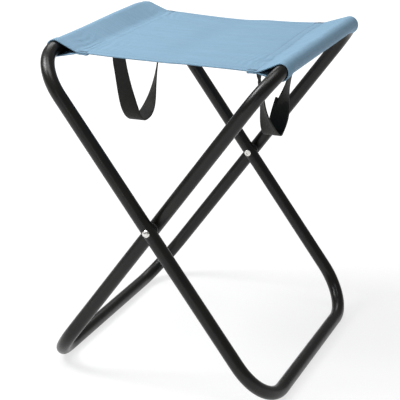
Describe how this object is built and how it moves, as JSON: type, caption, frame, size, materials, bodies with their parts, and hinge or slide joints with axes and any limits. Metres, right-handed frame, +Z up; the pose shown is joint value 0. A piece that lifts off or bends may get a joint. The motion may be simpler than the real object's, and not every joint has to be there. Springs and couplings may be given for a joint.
{
  "type": "camp stool",
  "caption": "Folding camp stool: crossed steel tube loops riveted at the middle, with a sleeved cloth seat and webbing carry handles.",
  "frame": {"origin": "on the floor, midway between the two bottom cross tubes and midway between the outer faces of the legs", "axes": "+Z up from the floor, +X from the left top tube to the right top tube, +Y from the front to the back"},
  "size_m": [0.296, 0.3656, 0.3932],
  "materials": {
    "frame_paint": "satin black powder coat",
    "spigot_steel": "bare drawn steel",
    "rivet_nickel": "bright nickel plate, lightly marked",
    "spacer_nylon": "matte black nylon",
    "seat_cloth": "light steel-blue coated polyester, fine plain weave",
    "seat_thread": "blue polyester thread",
    "webbing": "black ribbed polypropylene webbing",
    "webbing_thread": "black polyester thread"
  },
  "bodies": {
    "left_frame": {"left_frame_tube": "frame_paint", "left_tube_spigot": "spigot_steel", "front_pivot_rivet": "rivet_nickel", "front_pivot_spacer": "spacer_nylon"},
    "right_frame": {"right_frame_tube": "frame_paint", "right_tube_spigot": "spigot_steel", "back_pivot_rivet": "rivet_nickel", "back_pivot_spacer": "spacer_nylon"},
    "left_seat": {"left_seat_panel": "seat_cloth", "left_sleeve": "seat_cloth", "left_front_hem": "seat_cloth", "left_back_hem": "seat_cloth", "left_seam_thread": "seat_thread", "left_hem_thread": "seat_thread", "left_corner_tacks": "seat_thread", "left_handle_tabs": "webbing", "left_handle_tacks": "webbing_thread"},
    "right_seat": {"right_seat_panel": "seat_cloth", "right_sleeve": "seat_cloth", "right_front_hem": "seat_cloth", "right_back_hem": "seat_cloth", "right_seam_thread": "seat_thread", "right_hem_thread": "seat_thread", "right_corner_tacks": "seat_thread", "right_handle_tabs": "webbing", "right_handle_tacks": "webbing_thread"},
    "left_handle": {"left_handle_loop": "webbing"},
    "right_handle": {"right_handle_loop": "webbing", "right_handle_splice": "webbing"}
  },
  "joints": [
    {"name": "fold", "type": "hinge", "parent": "left_frame", "child": "right_frame", "pos_m": [0, 0, 0.19925], "axis": [0, -1, 0], "range_deg": [0, 67.4]},
    {"name": "left_seat_turn", "type": "hinge", "parent": "left_frame", "child": "left_seat", "pos_m": [-0.13525, 0, 0.38404], "axis": [0, 1, 0], "range_deg": [0, 50.4], "deforming": ["left_seat_panel", "left_sleeve", "left_front_hem", "left_back_hem", "left_seam_thread", "left_hem_thread"]},
    {"name": "right_seat_turn", "type": "hinge", "parent": "right_frame", "child": "right_seat", "pos_m": [0.13525, 0, 0.38404], "axis": [0, -1, 0], "range_deg": [0, 50.4], "deforming": ["right_seat_panel", "right_sleeve", "right_front_hem", "right_back_hem", "right_seam_thread", "right_hem_thread"]},
    {"name": "left_handle_swing", "type": "hinge", "parent": "left_seat", "child": "left_handle", "pos_m": [-0.10255, 0, 0.37122], "axis": [0, -1, 0], "range_deg": [-60, 80]},
    {"name": "right_handle_swing", "type": "hinge", "parent": "right_seat", "child": "right_handle", "pos_m": [0.10255, 0, 0.37122], "axis": [0, 1, 0], "range_deg": [-60, 80]}
  ],
  "couplings": [
    {"joint": "left_seat_turn", "follows": "fold", "ratio": 0.7448},
    {"joint": "right_seat_turn", "follows": "fold", "ratio": 0.7448}
  ]
}
